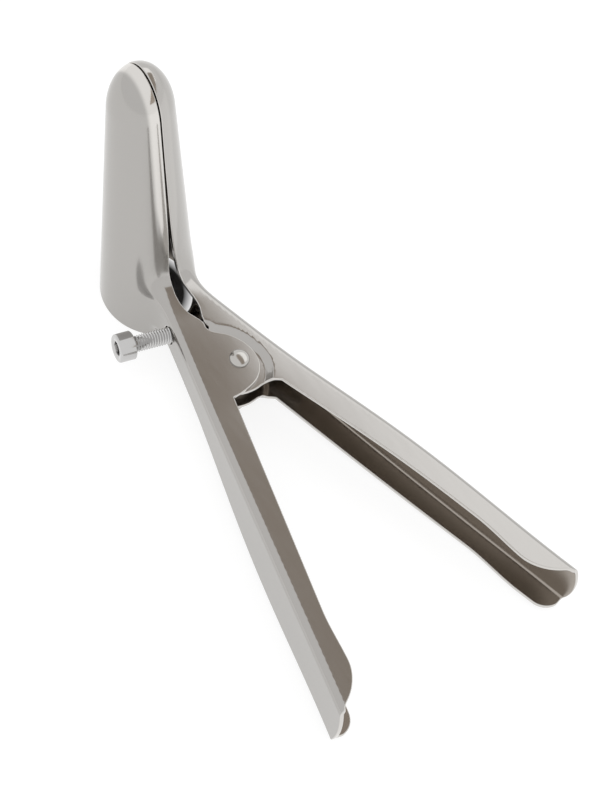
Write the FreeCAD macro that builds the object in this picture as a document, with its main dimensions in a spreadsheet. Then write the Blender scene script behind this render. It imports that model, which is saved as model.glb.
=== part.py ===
import FreeCAD, Part
import math, os
import Sketcher

# Bivalve speculum: two pressed sheet halves on one pivot, a return spring and a limiting screw.
# X runs across the instrument (the right half opens toward +X), Y runs from the handle ends toward
# the blades and Z is the pivot axis, up from the table.  While the forms are built, the base point
# is where the front flange edges meet, halfway up the channels.  The finished pieces are then
# moved together, so that the row's origin is the middle of the footprint at table level.

os.makedirs("parts", exist_ok=True)
doc = FreeCAD.newDocument("bivalve_speculum")

# Driving dimensions, each one written once.
sizes = doc.addObject("Spreadsheet::Sheet", "sizes")
rows = [
    ("sheet_gauge", "1.2 mm", "stainless sheet both halves are pressed from"),
    ("half_angle", "16.37 deg", "each handle leans out from the middle by this much"),
    ("neck_width", "11.4 mm", "outside width of the channel at the pivot"),
    ("tail_width", "18.7 mm", "outside width of the channel at the handle end"),
    ("neck_depth", "9.6 mm", "free edge to outside of web at the pivot"),
    ("tail_depth", "6.7 mm", "free edge to outside of web at the handle end"),
    ("handle_reach", "131.3 mm", "origin to the tip of a handle, along its free edge"),
    ("neck_reach", "28 mm", "length below the origin that keeps the neck width"),
    ("bend_outer", "2.2 mm", "outside radius of the two long bends of a channel"),
    ("bow_start", "10 mm", "length below the origin where a handle starts to bow"),
    ("side_bow", "1.96 mm", "most that each flange bows out of its straight taper"),
    ("web_bow", "0.76 mm", "most that a web bows away from the middle"),
    ("edge_bow", "0.67 mm", "most that a free edge bows away from the middle"),
    ("tongue_left", "113 mm", "where the left flange starts to round off"),
    ("tongue_right", "119 mm", "where the right flange starts to round off"),
    ("tongue_sweep", "17 mm", "radius that rounds a flange end"),
    ("tip_sweep", "11.5 mm", "radius that rounds the end of a web"),
    ("blade_angle", "73.4 deg", "blade axis above the plane of the handles"),
    ("blade_length", "90 mm", "blade from the mouth to its tip along its own axis"),
    ("mouth_drop", "10.9 mm", "open mouth of the blades below the middle plane"),
    ("mouth_centre", "23.7 mm", "blade axis in front of the origin at the mouth"),
    ("mouth_radius", "14.15 mm", "outside radius of the closed blades at the mouth"),
    ("tip_radius", "9.85 mm", "outside radius of the closed blades where the dome starts"),
    ("dome_length", "15 mm", "length of the rounded tip"),
    ("slit_gap", "0.5 mm", "space left between the two closed blades"),
    ("lens_width", "2.4 mm", "half width of the open lens between the two necks"),
    ("lens_reach", "10.5 mm", "half length of that lens along the neck"),
    ("lens_rise", "12 mm", "half height of that lens up the blades"),
    ("pivot_side", "1.6 mm", "pivot axis to the right of the middle"),
    ("pivot_back", "15.2 mm", "pivot axis behind the origin"),
    ("pin_radius", "2 mm", "shank of the pivot rivet"),
    ("pin_play", "0.04 mm", "radial play of the right half on the rivet"),
    ("rivet_head_radius", "3 mm", "domed heads of the rivet"),
    ("rivet_head_height", "1.5 mm", "domed heads of the rivet"),
    ("ear_radius", "9.2 mm", "outer ears, on the left half"),
    ("ear_centre_side", "2.3 mm", "centre of the outer ears left of the middle"),
    ("inner_ear_radius", "9.8 mm", "inner ears, on the right half"),
    ("inner_ear_side", "0.8 mm", "centre of the inner ears left of the middle"),
    ("ear_play", "0.06 mm", "space between an outer and an inner ear"),
    ("opening_angle", "28 deg", "how far the handles can be squeezed"),
    ("seat_play", "0.45 mm", "space round an outer ear in its sunk seat"),
    ("spacer_wall", "2 mm", "wall of the tube that keeps the inner ears apart"),
    ("spring_wire", "1.3 mm", "wire of the return spring"),
    ("spring_radius", "5.2 mm", "mean radius of the spring coil"),
    ("spring_leg", "21 mm", "straight legs of the spring"),
    ("spring_rest", "0.08 mm", "space left between a leg and its web"),
    ("screw_forward", "4.0 mm", "screw axis in front of the origin where it meets the left web"),
    ("screw_radius", "2.5 mm", "thread of the limiting screw, five millimetres across"),
    ("screw_length", "25 mm", "screw below its head"),
    ("screw_out", "11.3 mm", "part of the screw that stands outside the left web"),
    ("head_radius", "4.25 mm", "cap head of the screw"),
    ("head_height", "5 mm", "cap head of the screw"),
    ("socket_width", "4 mm", "hexagon socket across flats"),
    ("socket_depth", "2.6 mm", "hexagon socket"),
    ("thread_play", "0.05 mm", "radial play of the screw in the boss"),
    ("web_hole_play", "0.25 mm", "radial space of the screw in the web"),
    ("boss_radius", "3.5 mm", "threaded boss inside the left web"),
    ("boss_height", "4 mm", "threaded boss inside the left web"),
]
for number, (alias, value, use) in enumerate(rows, 1):
    sizes.set("A%d" % number, alias)
    sizes.set("B%d" % number, value)
    sizes.setAlias("B%d" % number, alias)
    sizes.set("C%d" % number, use)
doc.recompute()


def size(expression):
    """Value of an expression over the driving dimensions, in mm or degrees."""
    result = sizes.evalExpression(expression)
    return float(getattr(result, "Value", result))


def bind(item, **expressions):
    """Tie properties of an object to expressions; two underscores stand for a dot."""
    for name, expression in expressions.items():
        item.setExpression(name.replace("__", "."), expression)
    return item


def add(kind, label, **expressions):
    item = doc.addObject(kind, label)
    item.Label = label
    return bind(item, **expressions)


def turn(item, axis, expression):
    """Rotation of an object about one axis through its own base point."""
    item.Placement = FreeCAD.Placement(item.Placement.Base, FreeCAD.Rotation(FreeCAD.Vector(*axis), 10))
    item.setExpression("Placement.Rotation.Angle", expression)
    return item


def fuse(label, items):
    item = doc.addObject("Part::MultiFuse", label)
    item.Shapes = items
    return item


def cut(label, base, tool):
    item = doc.addObject("Part::Cut", label)
    item.Base = base
    item.Tool = tool
    return item


def mirrored(label, source):
    item = doc.addObject("Part::Mirroring", label)
    item.Source = source
    item.Normal = FreeCAD.Vector(1, 0, 0)
    return item


def profile(label, corners):
    """Closed sketch through corners (x, y, radius); every corner is tied to its own expressions."""
    sketch = doc.addObject("Sketcher::SketchObject", label)
    count = len(corners)
    points = [FreeCAD.Vector(size(c[0]), size(c[1]), 0) for c in corners]
    starts = []
    ends = []
    arcs = []
    for index in range(count):
        point = points[index]
        radius = corners[index][2]
        if radius is None:
            starts.append(point)
            ends.append(point)
            arcs.append(None)
            continue
        before = (points[index - 1] - point).normalize()
        after = (points[(index + 1) % count] - point).normalize()
        opening = before.getAngle(after)
        reach = size(radius) / math.tan(opening / 2)
        first = point + before * reach
        last = point + after * reach
        middle = (before + after).normalize()
        centre = point + middle * (size(radius) / math.sin(opening / 2))
        halfway = centre - middle * size(radius)
        starts.append(last)
        ends.append(first)
        arcs.append(Part.Arc(first, halfway, last))
    lines = []
    for index in range(count):
        lines.append(sketch.addGeometry(Part.LineSegment(starts[index], ends[(index + 1) % count])))
    for index in range(count):
        x_rule, y_rule, radius = corners[index]
        inbound = lines[index - 1]
        outbound = lines[index]
        if radius is None:
            sketch.addConstraint(Sketcher.Constraint("Coincident", inbound, 2, outbound, 1))
            corner = (outbound, 1)
        else:
            arc = sketch.addGeometry(arcs[index])
            corner_point = sketch.addGeometry(Part.Point(points[index]), True)
            near = 1
            if (sketch.getPoint(arc, 1) - ends[index]).Length > (sketch.getPoint(arc, 2) - ends[index]).Length:
                near = 2
            sketch.addConstraint(Sketcher.Constraint("Tangent", inbound, 2, arc, near))
            sketch.addConstraint(Sketcher.Constraint("Tangent", outbound, 1, arc, 3 - near))
            sketch.addConstraint(Sketcher.Constraint("PointOnObject", corner_point, 1, inbound))
            sketch.addConstraint(Sketcher.Constraint("PointOnObject", corner_point, 1, outbound))
            key = sketch.addConstraint(Sketcher.Constraint("Radius", arc, size(radius)))
            sketch.renameConstraint(key, "radius_%d" % index)
            sketch.setExpression("Constraints.radius_%d" % index, radius)
            corner = (corner_point, 1)
        for direction, rule in (("DistanceX", x_rule), ("DistanceY", y_rule)):
            key = sketch.addConstraint(
                Sketcher.Constraint(direction, -1, 1, corner[0], corner[1], size(rule)))
            name = "%s_%d" % ("across" if direction == "DistanceX" else "along", index)
            sketch.renameConstraint(key, name)
            sketch.setExpression("Constraints." + name, rule)
    return sketch


def upright(sketch):
    """Stand a sketch up so that its Y runs along Z."""
    sketch.Placement = FreeCAD.Placement(FreeCAD.Vector(), FreeCAD.Rotation(FreeCAD.Vector(1, 0, 0), 90))
    return sketch


def revolve(label, sketch):
    item = doc.addObject("Part::Revolution", label)
    item.Source = sketch
    item.Axis = FreeCAD.Vector(0, 0, 1)
    item.Angle = 360
    item.Solid = True
    return item


# Half widths and depths of a channel, outside and inside of the sheet.
neck_half = "sizes.neck_width / 2"
tail_half = "sizes.tail_width / 2"
slope = "(sizes.tail_depth - sizes.neck_depth) / sizes.handle_reach"
root_reach = "24 mm"
tail_reach = "(sizes.handle_reach + 3 mm)"
apex = "-1.3 mm"
bow_steps = 9


def section(label, station, bow, inset):
    """Channel section at a station below the origin, in the frame of its handle."""
    taper = "(%s - %s) / (sizes.handle_reach - sizes.neck_reach)" % (tail_half, neck_half)
    half = "(%s + max(0 mm; %s - sizes.neck_reach) * %s + %.5f * sizes.side_bow - %s)" % (
        neck_half, station, taper, bow, inset)
    deep = "(sizes.neck_depth + %s * (%s) + %.5f * sizes.web_bow - %s)" % (slope, station, bow, inset)
    radius = "sizes.bend_outer - %s" % inset
    mouth = "(%.5f * sizes.edge_bow - 1.5 * %s)" % (bow, inset)
    sketch = profile(label, [
        (mouth, "-%s" % half, None),
        (deep, "-%s" % half, radius),
        (deep, half, radius),
        (mouth, half, None),
    ])
    upright(sketch)
    sketch.setExpression("Placement.Base.y", "-(%s)" % station)
    return sketch


def bow_share(part):
    """Share of the full bow at a part of the way from bow_start to the end of the handle."""
    return math.sin(math.pi * min(max(part, 0.0), 1.0)) ** 2


def channel(label, inset):
    """Tapering, gently bowed channel blank of one handle, in the frame of its handle."""
    sections = [section(label + "_root", "(0 mm - %s)" % root_reach, 0, inset)]
    for step in range(bow_steps + 1):
        station = "(sizes.bow_start + %d / %d * (sizes.handle_reach - sizes.bow_start))" % (
            step, bow_steps)
        sections.append(section("%s_station_%d" % (label, step), station,
                                bow_share(step / bow_steps), inset))
    sections.append(section(label + "_tail", tail_reach, 0, inset))
    item = doc.addObject("Part::Loft", label)
    item.Sections = sections
    item.Solid = True
    item.Ruled = True
    return item


def blade(label, inset):
    """Closed pair of blades as one solid: a taper with a rounded tip, along the blade axis."""
    # The axis passes the mouth plane at mouth_centre; the taper starts lower so that the
    # mouth can be cut level.
    lower = "8 mm"
    drop = "(sizes.mouth_drop + %s * sin(sizes.blade_angle))" % lower
    front = "(sizes.mouth_centre - %s * cos(sizes.blade_angle))" % lower
    straight = "(sizes.blade_length - sizes.dome_length + %s)" % lower
    taper = "((sizes.mouth_radius - sizes.tip_radius) / (sizes.blade_length - sizes.dome_length))"
    cone = add("Part::Cone", label + "_taper",
               Radius1="sizes.mouth_radius + %s * %s - %s" % (taper, lower, inset),
               Radius2="sizes.tip_radius - %s" % inset,
               Height=straight)
    dome = add("Part::Ellipsoid", label + "_dome",
               Radius1="sizes.dome_length - %s" % inset,
               Radius2="sizes.tip_radius - %s" % inset,
               Radius3="sizes.tip_radius - %s" % inset)
    dome.Angle1 = 0
    dome.setExpression("Placement.Base.z", straight)
    item = fuse(label, [cone, dome])
    turn(item, (1, 0, 0), "sizes.blade_angle - 90 deg")
    bind(item, Placement__Base__y=front, Placement__Base__z="-" + drop)
    return item


def tail_cutters(label, tongue):
    """What rounds the end of a handle: one cutter for both flanges, one for the web."""
    block = add("Part::Box", label + "_flange_block",
                Length="sizes.tail_depth - sizes.sheet_gauge + 3.4 mm", Width="60 mm", Height="60 mm",
                Placement__Base__x="-3.6 mm", Placement__Base__y="-%s - 60 mm" % tongue,
                Placement__Base__z="-30 mm")
    drum = add("Part::Cylinder", label + "_flange_drum",
               Radius="sizes.tongue_sweep", Height="80 mm",
               Placement__Base__x="sizes.tongue_sweep", Placement__Base__y="-" + tongue,
               Placement__Base__z="-40 mm")
    flanges = cut(label + "_flange_end", block, drum)
    web_block = add("Part::Box", label + "_web_block",
                    Length="40 mm", Width="60 mm", Height="60 mm",
                    Placement__Base__x="-10 mm",
                    Placement__Base__y="-(sizes.handle_reach - 0.42 * sizes.tip_sweep) - 60 mm",
                    Placement__Base__z="-30 mm")
    web_drum = add("Part::Cylinder", label + "_web_drum",
                   Radius="sizes.tip_sweep", Height="60 mm",
                   Placement__Base__x="-20 mm",
                   Placement__Base__y="-(sizes.handle_reach - sizes.tip_sweep)")
    turn(web_drum, (0, 1, 0), "90 deg")
    web = cut(label + "_web_end", web_block, web_drum)
    return fuse(label, [flanges, web])


def plate_stack(label, side, radius, half_height, apex):
    """Round ears of one half as one solid block, with a wedge that runs up to the origin."""
    disc = add("Part::Cylinder", label + "_disc", Radius=radius, Height="2 * (%s)" % half_height,
               Placement__Base__x=side, Placement__Base__y="-sizes.pivot_back",
               Placement__Base__z="-(%s)" % half_height)
    wedge = profile(label + "_wedge_outline", [
        ("%s" % side, "-sizes.pivot_back", None),
        ("%s - 0.80 * (%s)" % (side, radius), "-sizes.pivot_back + 0.60 * (%s)" % radius, None),
        ("-0.3 mm", apex, None),
        ("3.5 mm", apex, None),
        ("%s + 0.5 * (%s)" % (side, radius), "-sizes.pivot_back", None),
    ])
    wedge.setExpression("Placement.Base.z", "-(%s)" % half_height)
    block = doc.addObject("Part::Extrusion", label + "_wedge")
    block.Base = wedge
    block.DirMode = "Normal"
    block.Solid = True
    block.setExpression("LengthFwd", "2 * (%s)" % half_height)
    return fuse(label, [disc, block])


def seat_form(label, grow, level, sign):
    """Outline of a sunk seat as a tall block: the outer ear at rest and turned, with its wedge."""
    tall = "12 mm"
    base = level if sign > 0 else "-%s - %s" % (level, tall)
    space = "(sizes.seat_play + %s)" % grow
    radius = "(sizes.ear_radius + %s)" % space
    arm = "(sizes.pivot_side + sizes.ear_centre_side)"
    items = []
    for name, where_x, where_y in (
            ("rest", "-sizes.ear_centre_side", "-sizes.pivot_back"),
            ("turned", "sizes.pivot_side - %s * cos(sizes.opening_angle)" % arm,
             "-sizes.pivot_back - %s * sin(sizes.opening_angle)" % arm)):
        items.append(add("Part::Cylinder", "%s_%s" % (label, name), Radius=radius, Height=tall,
                         Placement__Base__x=where_x, Placement__Base__y=where_y,
                         Placement__Base__z=base))
    outline = profile(label + "_outline", [
        ("-sizes.ear_centre_side", "-sizes.pivot_back", None),
        ("-sizes.ear_centre_side + 0.80 * sizes.ear_radius + 0.87 * %s" % space,
         "-sizes.pivot_back + 0.60 * sizes.ear_radius + 0.49 * %s" % space, None),
        ("0.3 mm + 0.58 * %s" % space, "%s + %s" % (apex, space), None),
        ("-3.5 mm", "%s + %s" % (apex, space), None),
    ])
    outline.setExpression("Placement.Base.z", base)
    block = doc.addObject("Part::Extrusion", label + "_wedge")
    block.Base = outline
    block.DirMode = "Normal"
    block.Solid = True
    block.setExpression("LengthFwd", tall)
    return fuse(label, items + [block])


channel_blank = channel("channel", "0 mm")
channel_hollow = turn(channel("hollow", "sizes.sheet_gauge"), (0, 0, 1), "sizes.half_angle")


def half(label, tongue, ear_side, ear_size, ear_level, ear_apex, sunk):
    """One pressed half in the right-hand attitude: outside form less inside form, then trimmed."""
    outer_channel = cut(label + "_channel_ended", channel_blank,
                        tail_cutters(label + "_tail_trim", tongue))
    turn(outer_channel, (0, 0, 1), "sizes.half_angle")
    inner_channel = channel_hollow
    outer_blade = blade(label + "_blade", "0 mm")
    inner_blade = blade(label + "_lumen", "sizes.sheet_gauge")
    # Ears: their block is solid here and hollowed by a slightly larger block.
    ears = plate_stack(label + "_ears", ear_side, ear_size, ear_level, ear_apex)
    between = plate_stack(label + "_between", ear_side, "(%s) + 0.8 mm" % ear_size,
                          "(%s) - sizes.sheet_gauge" % ear_level, "(%s) + 0.8 mm" % ear_apex)
    outside = outer_channel
    inside = inner_channel
    if sunk:
        # Seats pressed into both flanges, one sheet deep, where the outer ears turn.
        seats = []
        cores = []
        for name, sign in (("front", 1), ("back", -1)):
            for kind, grow, store in (("seat", "0 mm", seats), ("core", "sizes.sheet_gauge", cores)):
                level = "(%s)" % ear_level if kind == "seat" else "(%s - sizes.sheet_gauge)" % ear_level
                store.append(seat_form("%s_%s_%s" % (label, kind, name), grow, level, sign))
        outside = cut(label + "_channel_sunk", outer_channel, fuse(label + "_seats", seats))
        inside = cut(label + "_hollow_sunk", inner_channel, fuse(label + "_cores", cores))
    solid = fuse(label + "_outside", [outside, outer_blade, ears])
    # Trims: the other half's side, the level mouth and the open lens between the necks.
    side = add("Part::Box", label + "_side", Length="80 mm", Width="140 mm", Height="200 mm",
               Placement__Base__x="sizes.slit_gap / 2 - 80 mm",
               Placement__Base__y="-1.3 mm", Placement__Base__z="-80 mm")
    floor = add("Part::Box", label + "_floor", Length="120 mm", Width="120 mm", Height="60 mm",
                Placement__Base__x="-60 mm", Placement__Base__y="-2 mm",
                Placement__Base__z="-sizes.mouth_drop - 60 mm")
    lens = add("Part::Ellipsoid", label + "_lens", Radius1="sizes.lens_rise",
               Radius2="sizes.lens_width", Radius3="sizes.lens_reach",
               Placement__Base__y="sizes.lens_reach - 1.5 mm",
               Placement__Base__z="sizes.neck_width / 2 + 2.8 mm")
    removed = fuse(label + "_removed", [inside, inner_blade, between, side, floor, lens])
    return cut(label + "_blank", solid, removed)


outer_level = neck_half
inner_level = "%s - sizes.sheet_gauge - sizes.ear_play" % neck_half
left_blank = half("left", "sizes.tongue_left", "sizes.ear_centre_side", "sizes.ear_radius",
                  outer_level, apex, False)
right_blank = half("right", "sizes.tongue_right", "-sizes.inner_ear_side", "sizes.inner_ear_radius",
                   inner_level, "-2.2 mm", True)
left_turned = mirrored("left_turned", left_blank)

# Pivot axis and screw axis, shared by every piece that rides on them.
pivot_y = "-sizes.pivot_back"
bore = add("Part::Cylinder", "rivet_hole", Radius="sizes.pin_radius", Height="60 mm",
           Placement__Base__x="sizes.pivot_side", Placement__Base__y=pivot_y,
           Placement__Base__z="-30 mm")
bore_free = add("Part::Cylinder", "rivet_hole_free", Radius="sizes.pin_radius + sizes.pin_play",
                Height="60 mm", Placement__Base__x="sizes.pivot_side",
                Placement__Base__y=pivot_y, Placement__Base__z="-30 mm")

# The screw stands square to the left web.  Its frame has its origin on the outside of the web.
web_lean = size("sizes.half_angle + atan(%s)" % slope)
lean_sin = math.sin(math.radians(size("sizes.half_angle")))
lean_cos = math.cos(math.radians(size("sizes.half_angle")))
web_station = ((size("sizes.neck_depth") * lean_sin - size("sizes.screw_forward"))
               / (lean_cos - size(slope) * lean_sin))
web_depth = size("sizes.neck_depth") + size(slope) * web_station
screw_frame = FreeCAD.Placement(
    FreeCAD.Vector(-(web_depth * lean_cos + web_station * lean_sin), size("sizes.screw_forward"), 0),
    FreeCAD.Rotation(FreeCAD.Vector(0, 0, 1), -web_lean).multiply(
        FreeCAD.Rotation(FreeCAD.Vector(0, 1, 0), -90)))
web_hole = add("Part::Cylinder", "web_hole", Radius="sizes.screw_radius + sizes.web_hole_play",
               Height="12 mm")
web_hole.Placement = screw_frame.multiply(
    FreeCAD.Placement(FreeCAD.Vector(0, 0, -6), FreeCAD.Rotation()))

left_valve = cut("left_valve", left_turned, fuse("left_holes", [bore, web_hole]))
right_valve = cut("right_valve", right_blank, bore_free)

# Rivet: a plain shank with a domed head at each end, snug on the outer ears.
rivet_end = "(%s + sizes.rivet_head_height)" % neck_half
rivet_profile = upright(profile("rivet_profile", [
    ("0 mm", "-%s" % rivet_end, None),
    ("sizes.rivet_head_radius", "-%s" % rivet_end, "0.92 * sizes.rivet_head_height"),
    ("sizes.rivet_head_radius", "-%s" % neck_half, None),
    ("sizes.pin_radius", "-%s" % neck_half, None),
    ("sizes.pin_radius", neck_half, None),
    ("sizes.rivet_head_radius", neck_half, None),
    ("sizes.rivet_head_radius", rivet_end, "0.92 * sizes.rivet_head_height"),
    ("0 mm", rivet_end, None),
]))
pivot_rivet = revolve("pivot_rivet", rivet_profile)
bind(pivot_rivet, Placement__Base__x="sizes.pivot_side", Placement__Base__y=pivot_y)

# Spacer tube between the inner ears.
spacer_half = "(%s - sizes.sheet_gauge - sizes.ear_play)" % inner_level
tube = add("Part::Cylinder", "spacer_tube", Radius="sizes.pin_radius + sizes.spacer_wall",
           Height="2 * %s" % spacer_half, Placement__Base__x="sizes.pivot_side",
           Placement__Base__y=pivot_y, Placement__Base__z="-%s" % spacer_half)
pivot_spacer = cut("pivot_spacer", tube, bore)

# Return spring: three close coils round the spacer and two straight legs that bear on the webs.
spring_turns = 3
coil_pitch = "(sizes.spring_wire * 1.04)"


def leg_way(hand):
    """Direction of one leg: it leans out until it meets its web."""
    radius = size("sizes.spring_radius")
    lean = math.radians(size("sizes.half_angle"))
    leg = size("sizes.spring_leg")
    px = size("sizes.pivot_side")
    py = -size("sizes.pivot_back")
    offset = hand * math.cos(lean) * px + math.sin(lean) * py
    station = hand * math.sin(lean) * px - math.cos(lean) * py
    station += leg * 0.94
    bow = bow_share((station - size("sizes.bow_start")) / size("sizes.handle_reach - sizes.bow_start"))
    face = size("sizes.neck_depth - sizes.sheet_gauge") + size(slope) * station + bow * size("sizes.web_bow")
    target = face - offset - size("sizes.spring_wire / 2 + sizes.spring_rest")
    out = math.asin(target / math.hypot(radius, leg)) - math.atan2(radius, leg)
    return -math.pi / 2 + hand * (lean + out)


def spring_shape():
    """Wire of the spring as one ruled solid through round sections along its path."""
    radius = size("sizes.spring_radius")
    leg = size("sizes.spring_leg")
    wire = size("sizes.spring_wire / 2")
    rise = size(coil_pitch) * spring_turns
    left_way = leg_way(-1)
    right_way = leg_way(1)
    begin = left_way - math.pi / 2
    finish = right_way + math.pi / 2 - 2 * math.pi * spring_turns
    while finish - begin > -2 * math.pi * (spring_turns - 0.5):
        finish -= 2 * math.pi
    count = 20 * spring_turns
    path = []
    for index in range(count + 1):
        part = index / count
        angle = begin + (finish - begin) * part
        path.append(FreeCAD.Vector(radius * math.cos(angle), radius * math.sin(angle), rise * (part - 0.5)))
    toward = FreeCAD.Vector(math.cos(left_way), math.sin(left_way), 0)
    away = FreeCAD.Vector(math.cos(right_way), math.sin(right_way), 0)
    path = [path[0] + toward * leg] + path + [path[-1] + away * leg]
    rings = []
    for index, point in enumerate(path):
        before = path[max(index - 1, 0)]
        after = path[min(index + 1, len(path) - 1)]
        along = (point - before).normalize() if index else (after - point).normalize()
        if 0 < index < len(path) - 1:
            along = (along + (after - point).normalize()).normalize()
        across = along.cross(FreeCAD.Vector(0, 0, 1)).normalize()
        upward = across.cross(along)
        corners = [point + (across * math.cos(math.pi * k / 4) + upward * math.sin(math.pi * k / 4)) * wire
                   for k in range(8)]
        rings.append(Part.makePolygon(corners + corners[:1]))
    return Part.makeLoft(rings, True, True)


torsion_spring = doc.addObject("Part::Feature", "torsion_spring")
torsion_spring.Shape = spring_shape()
bind(torsion_spring, Placement__Base__x="sizes.pivot_side", Placement__Base__y=pivot_y)

# Limiting screw: cap head with a hexagon socket, shank to the full thread diameter.
screw_profile = upright(profile("screw_profile", [
    ("0 mm", "sizes.screw_out - sizes.screw_length", None),
    ("sizes.screw_radius - 0.5 mm", "sizes.screw_out - sizes.screw_length", None),
    ("sizes.screw_radius", "sizes.screw_out - sizes.screw_length + 0.5 mm", None),
    ("sizes.screw_radius", "sizes.screw_out", None),
    ("sizes.head_radius", "sizes.screw_out", None),
    ("sizes.head_radius", "sizes.screw_out + sizes.head_height", "0.5 mm"),
    ("0 mm", "sizes.screw_out + sizes.head_height", None),
]))
screw_body = revolve("screw_body", screw_profile)
socket = add("Part::Prism", "screw_socket", Circumradius="sizes.socket_width / sqrt(3)",
             Height="sizes.socket_depth + 1 mm",
             Placement__Base__z="sizes.screw_out + sizes.head_height - sizes.socket_depth")
socket.Polygon = 6
limit_screw = cut("limit_screw", screw_body, socket)
limit_screw.Placement = screw_frame

# Threaded boss brazed against the inside of the left web.
boss_block = add("Part::Cylinder", "boss_block", Radius="sizes.boss_radius",
                 Height="sizes.boss_height",
                 Placement__Base__z="-sizes.sheet_gauge - sizes.boss_height")
boss_bore = add("Part::Cylinder", "boss_bore", Radius="sizes.screw_radius + sizes.thread_play",
                Height="20 mm", Placement__Base__z="-15 mm")
thread_boss = cut("thread_boss", boss_block, boss_bore)
thread_boss.Placement = screw_frame

pieces = [left_valve, right_valve, pivot_rivet, pivot_spacer, torsion_spring, limit_screw, thread_boss]

# Middle of the footprint: from the web tips to the far side of the rounded blade tip.
tail_end = "((sizes.tail_depth - sizes.sheet_gauge) * sin(sizes.half_angle) - sizes.handle_reach * cos(sizes.half_angle))"
along_dome = "(sizes.dome_length * cos(sizes.blade_angle))"
across_dome = "(sizes.tip_radius * sin(sizes.blade_angle))"
blade_end = ("(sizes.mouth_centre + (sizes.blade_length - sizes.dome_length) * cos(sizes.blade_angle)"
             " + sqrt(%s * %s + %s * %s))" % (along_dome, along_dome, across_dome, across_dome))
shift_y = "-(%s + %s) / 2" % (tail_end, blade_end)
doc.recompute()
for piece in pieces:
    base = piece.Placement.Base
    bind(piece, Placement__Base__y="%.6f mm + %s" % (base.y, shift_y),
         Placement__Base__z="%.6f mm + sizes.mouth_drop" % base.z)
for piece in (pivot_rivet, torsion_spring):
    bind(piece, Placement__Base__y="%s + %s" % (pivot_y, shift_y))
doc.recompute()

for item in doc.Objects:
    if "Invalid" in item.State or "Error" in item.State:
        raise RuntimeError("feature %s failed: %s" % (item.Name, item.State))
for piece in pieces:
    shape = piece.Shape
    if shape.isNull() or not shape.isValid():
        raise RuntimeError("piece %s has no valid shape" % piece.Name)
    piece.Label = piece.Name
    box = shape.optimalBoundingBox(False, False)
    print("%-15s solids %d volume %8.1f  x %.2f %.2f  y %.2f %.2f  z %.2f %.2f" % (
        piece.Name, len(shape.Solids), shape.Volume, box.XMin, box.XMax, box.YMin, box.YMax,
        box.ZMin, box.ZMax))
    shape.exportStep("parts/%s.step" % piece.Name)
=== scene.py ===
# %% [markdown]
# # A bivalve speculum of pressed steel
# The instrument is two pressed sheet halves on one rivet, a return spring between them, and a cap
# screw that limits how far they open.  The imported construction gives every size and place.  This
# lesson dresses it: smooth pressed sheet with rounded cut edges, a cut thread, a wound spring.

# %% Load the fixed frame
import math
import bpy
import numpy as np
from mathutils import Matrix, Vector


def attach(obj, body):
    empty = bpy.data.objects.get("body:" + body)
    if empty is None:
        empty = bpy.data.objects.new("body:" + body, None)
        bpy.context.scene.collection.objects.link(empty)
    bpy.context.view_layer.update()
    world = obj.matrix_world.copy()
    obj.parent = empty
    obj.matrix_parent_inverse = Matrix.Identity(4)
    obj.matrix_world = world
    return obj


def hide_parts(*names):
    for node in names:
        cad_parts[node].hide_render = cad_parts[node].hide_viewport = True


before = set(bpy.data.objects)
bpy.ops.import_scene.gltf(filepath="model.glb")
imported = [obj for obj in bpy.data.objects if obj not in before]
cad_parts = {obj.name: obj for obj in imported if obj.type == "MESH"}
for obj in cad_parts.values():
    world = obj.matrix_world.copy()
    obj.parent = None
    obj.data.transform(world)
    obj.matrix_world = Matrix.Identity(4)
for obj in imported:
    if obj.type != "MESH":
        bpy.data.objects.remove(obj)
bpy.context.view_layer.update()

# %% [markdown]
# ## Sizes of the pressing
# All forms are worked out in millimetres about one base point: where the front edges of the two
# halves meet, halfway up the handles.  The right half is drawn and the left one is its mirror
# image, so one set of rules makes both.  Only the last step turns millimetres into metres.

# %% Sizes, in millimetres
BASE = np.array([0.0, 34.467, 10.9])
SHEET = 1.2
LEAN = math.radians(16.37)
RISE = math.radians(73.4)
LEAN_COS, LEAN_SIN = math.cos(LEAN), math.sin(LEAN)
RISE_COS, RISE_SIN = math.cos(RISE), math.sin(RISE)
MOUTH_Y, MOUTH_Z = 23.7, -10.9
MOUTH_R, TIP_R, STRAIGHT, DOME = 14.15, 9.85, 75.0, 15.0
NECK_HALF, NECK_END, SPREAD = 5.7, 28.0, 0.03533
NECK_DEEP, THIN = 9.6, 0.02209
BOW_START, REACH = 10.0, 131.3
SIDE_BOW, WEB_BOW, EDGE_BOW = 1.96, 0.76, 0.67
BEND = 2.2
PIVOT = np.array([1.6, -15.2])
EDGE = 0.3
print("handle leans out %.2f degrees, blade stands at %.1f" % (math.degrees(LEAN), math.degrees(RISE)))

# %% [markdown]
# ## The pressed form as a field
# A press stretches flat sheet into one flowing surface, so a blade and a handle can't be two
# solids stuck together.  A field helps here: a function that gives the distance to a form at any
# point.  Two fields join softly where they are both near, as the sheet flows in the die.

# %% Join two fields softly
def soft_union(a, b, reach):
    """Nearer of two forms, flowing together where both are within reach."""
    near = np.clip(1 - np.abs(a - b) / reach, 0, 1)
    return np.minimum(a, b) - near ** 3 * reach / 6


def ease(value):
    """Smooth step from 0 to 1."""
    value = np.clip(value, 0, 1)
    return value * value * (3 - 2 * value)


print("two faces that meet within 12 mm swell by %.1f mm" % -soft_union(0.0, 0.0, 12.0))

# %% [markdown]
# The two blades together are one taper with a rounded tip, so one field makes both, and each half
# keeps its side of it.  The tip is half of a squashed ball that goes on without a kink from the
# taper, because its radius and its slope start where the taper's end.

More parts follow.
